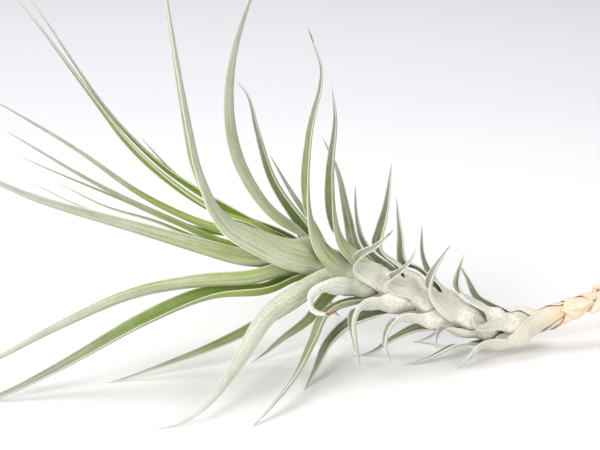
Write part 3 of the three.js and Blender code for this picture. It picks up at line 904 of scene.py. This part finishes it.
def dressDrySheaths():
    for node in reversed(dryNodes):
        seed = dryFacts["seed"] + int(node.split("_")[2])
        piece = buildLeaf(node, node + "_paper", {**dryFacts, "seed": seed})
        piece.data.materials.append(materials["drySheath"])
        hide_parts(node)
        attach(piece, "root")


dressDrySheaths()
print("dry sheaths dressed:", len(dryNodes))


def dressStem():
    loops = np.concatenate([stemLoops, stemLoops[:, :1]], axis=1)
    knots = lengthsAlong(stemLoops.mean(axis=1))
    places = np.linspace(0, knots[-1], (len(knots) - 1) * stemShape["finer"] + 1)
    along = smoothThrough(loops, knots, places)
    sides = stemShape["sides"] * stemShape["finerRound"]
    aroundKnots = np.linspace(0, 1, stemShape["sides"] + 1)
    around = np.linspace(0, 1, sides + 1)[:-1]
    points = smoothThrough(along.transpose(1, 0, 2), aroundKnots, around).transpose(1, 0, 2)
    rows = len(points)
    vertices = np.concatenate([points.reshape(-1, 3), [stemTip]])
    faces = tubeFaces(rows, sides) + [tuple(range(sides))[::-1]]
    table = {
        "across": np.linspace(0, 2 * math.pi * stemShape["bareRadius"], sides),
        "inside": np.zeros(sides),
        "fromRim": np.full((rows, sides), stemShape["noRim"]),
    }
    facts = {**dryFacts, "seed": stemShape["seed"]}
    places = np.append(places, places[-1])
    piece = makeMeshPiece("stem_wood", vertices, faces, rows, places, table, knots, facts)
    piece.data.materials.append(materials["dryStem"])
    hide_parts("stem")
    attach(piece, "root")


dressStem()
print("stem dressed")

# Scales that stand up from the skins: thousands of tiny flakes, fewer on the inner faces, set out by nodes.
fuzz = {
    "seed": 5, "size": 0.3 * mm, "sides": 3,
    "height": 0.2, "smallest": 0.5,      # shares of the size
    "onInner": 0.35,                     # share of the flakes on an outer face
    "groups": {"old": (1, 21, 30000), "rosette": (22, 33, 34000), "heart": (34, 43, 16000)},
    "tints": ("d9d8ca", "efeee6"), "tintNoise": (180.0, 2), "tintFade": (0.35, 0.65),
    "roughness": 0.6,
}


def makeFuzzTree():
    inputs = {
        "Skin": "NodeSocketGeometry", "Density": numberSocket, "Flake size": numberSocket,
        "Flake height": numberSocket, "Smallest": numberSocket, "On inner faces": numberSocket,
        "Seed": "NodeSocketInt", "Material": "NodeSocketMaterial",
    }
    outputs = {"Flakes": "NodeSocketGeometry"}
    tree, given, result = startGroup("scaleFuzz", inputs, outputs, "GeometryNodeTree")
    stored = addNode(tree, "GeometryNodeInputNamedAttribute", {"Name": "inside"}, data_type="FLOAT").outputs
    onlyOuter = doMath(tree, "SUBTRACT", 1.0, given["On inner faces"])
    fewer = doMath(tree, "MULTIPLY", stored["Attribute"], onlyOuter)
    density = doMath(tree, "MULTIPLY", given["Density"], doMath(tree, "SUBTRACT", 1.0, fewer))
    spreadInputs = {"Mesh": given["Skin"], "Density": density, "Seed": given["Seed"]}
    spread = addNode(tree, "GeometryNodeDistributePointsOnFaces", spreadInputs).outputs
    flake = addNode(tree, "GeometryNodeMeshCone", {
        "Vertices": fuzz["sides"], "Radius Top": 0.0, "Radius Bottom": 0.5, "Depth": given["Flake height"],
    }).outputs["Mesh"]  # one unit wide, before it is scaled to the flake's size
    sizes = addNode(tree, "FunctionNodeRandomValue", {2: given["Smallest"], 3: 1.0, "Seed": given["Seed"]})
    scale = doMath(tree, "MULTIPLY", sizes.outputs[1], given["Flake size"])
    placed = addNode(tree, "GeometryNodeInstanceOnPoints", {
        "Points": spread["Points"], "Instance": flake, "Rotation": spread["Rotation"], "Scale": scale,
    }).outputs["Instances"]
    real = addNode(tree, "GeometryNodeRealizeInstances", {"Geometry": placed}).outputs["Geometry"]
    done = addNode(tree, "GeometryNodeSetMaterial", {"Geometry": real, "Material": given["Material"]})
    fillInputs(tree, result, {"Flakes": done.outputs["Geometry"]})
    return tree


def makeFlakeMaterial():
    material, tree, surface = startMaterial("silverFlake")
    place = addNode(tree, "ShaderNodeTexCoord").outputs["Object"]
    patches = softStep(tree, noise(tree, place, *fuzz["tintNoise"]), *fuzz["tintFade"])
    tint = mixColour(tree, patches, *fuzz["tints"])
    fillInputs(tree, surface, {"Base Color": tint, "Roughness": fuzz["roughness"]})
    return material


def joinedSkins(first, last):
    corners, faces, inside = [], [], []
    for node in leafNodes[first - 1:last]:
        mesh = bpy.data.objects[node + "_skin"].data
        offset = len(corners)
        corners += [tuple(v.co) for v in mesh.vertices]
        faces += [tuple(i + offset for i in polygon.vertices) for polygon in mesh.polygons]
        inside += [item.value for item in mesh.attributes["inside"].data]
    joined = bpy.data.meshes.new("joinedSkins")
    joined.from_pydata(corners, [], faces)
    joined.attributes.new("inside", "FLOAT", "POINT").data.foreach_set("value", inside)
    return joined


def flakesOn(base, tree, values):  # the finished flakes as a plain mesh; the skins under them are dropped
    holder = addObject("holder", base)
    modifier = holder.modifiers.new("scaleFuzz", "NODES")
    modifier.node_group = tree
    for item in tree.interface.items_tree:
        if item.name in values and item.in_out == "INPUT":
            modifier[item.identifier] = values[item.name]
    bpy.context.view_layer.update()
    shape = bpy.data.meshes.new_from_object(holder.evaluated_get(bpy.context.evaluated_depsgraph_get()))
    bpy.data.objects.remove(holder)
    bpy.data.meshes.remove(base)
    return shape


def growFuzz():
    tree = makeFuzzTree()
    values = {
        "Flake size": fuzz["size"], "Flake height": fuzz["height"], "Smallest": fuzz["smallest"],
        "On inner faces": fuzz["onInner"], "Seed": fuzz["seed"], "Material": makeFlakeMaterial(),
    }
    for name, (first, last, count) in fuzz["groups"].items():
        base = joinedSkins(first, last)
        values["Density"] = count / sum(polygon.area for polygon in base.polygons)
        piece = addObject(f"scales_{name}_leaves", flakesOn(base, tree, values))
        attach(piece, "root")
        print("scales on", name, "leaves:", len(piece.data.polygons) // (fuzz["sides"] + 1))


growFuzz()

# Studio: a pale sweep with painted shade far behind, where it turns darker and faintly lavender, and large
# soft lights.
studio = {
    "floorSize": 8.0,
    # the far colour is painted shade: darker and faintly lavender, where the light falls off
    "floorNearToneAndFarShade": ("f9f8f8", "f1f0f5"), "floorRoughness": 0.9, "floorSpecular": 0.1,      # near and far
    "turns": (0.25, 0.56),      # metres behind the plant
    "world": 0.3, "worldTint": (1, 1, 1, 1),
    "lamps": [
        {"name": "overhead", "place": (-0.25, 0.5, 1.8), "size": 1.2, "power": 18.5},
        {"name": "leftFront", "place": (-1.1, -1.3, 1.1), "size": 1.0, "power": 26},
        {"name": "right", "place": (1.0, -1.3, 0.8), "size": 0.9, "power": 11},
    ],
}


def makeFloor():
    size = studio["floorSize"]
    mesh = bpy.data.meshes.new("floor")
    corners = [(-size, -size, 0), (size, -size, 0), (size, size, 0), (-size, size, 0)]
    mesh.from_pydata(corners, [], [(0, 1, 2, 3)])
    material, tree, surface = startMaterial("paleSweep")
    place = addNode(tree, "ShaderNodeTexCoord").outputs["Object"]
    behind = addNode(tree, "ShaderNodeSeparateXYZ", {0: place}).outputs["Y"]
    # painted shade: the sweep turns darker and faintly lavender far behind the plant
    share = softStep(tree, behind, *studio["turns"])
    fillInputs(tree, surface, {
        "Base Color": mixColour(tree, share, *studio["floorNearToneAndFarShade"]),
        "Roughness": studio["floorRoughness"],
        "Specular IOR Level": studio["floorSpecular"],
    })
    mesh.materials.append(material)
    addObject("floor", mesh)


def makeStudio():
    makeFloor()
    world = bpy.data.worlds.new("softRoom")
    world.use_nodes = True
    background = world.node_tree.nodes["Background"]
    fillInputs(world.node_tree, background, {"Color": studio["worldTint"], "Strength": studio["world"]})
    bpy.context.scene.world = world
    for lamp in studio["lamps"]:
        data = bpy.data.lights.new(lamp["name"], "AREA")
        data.shape = "SQUARE"
        data.size = lamp["size"]
        data.energy = lamp["power"]
        made = addObject(lamp["name"], data)
        made.location = lamp["place"]
        made.rotation_euler = (aim - made.location).to_track_quat("-Z", "Y").to_euler()
    bpy.context.scene.view_settings.view_transform = "Standard"


makeStudio()
print("studio ready")
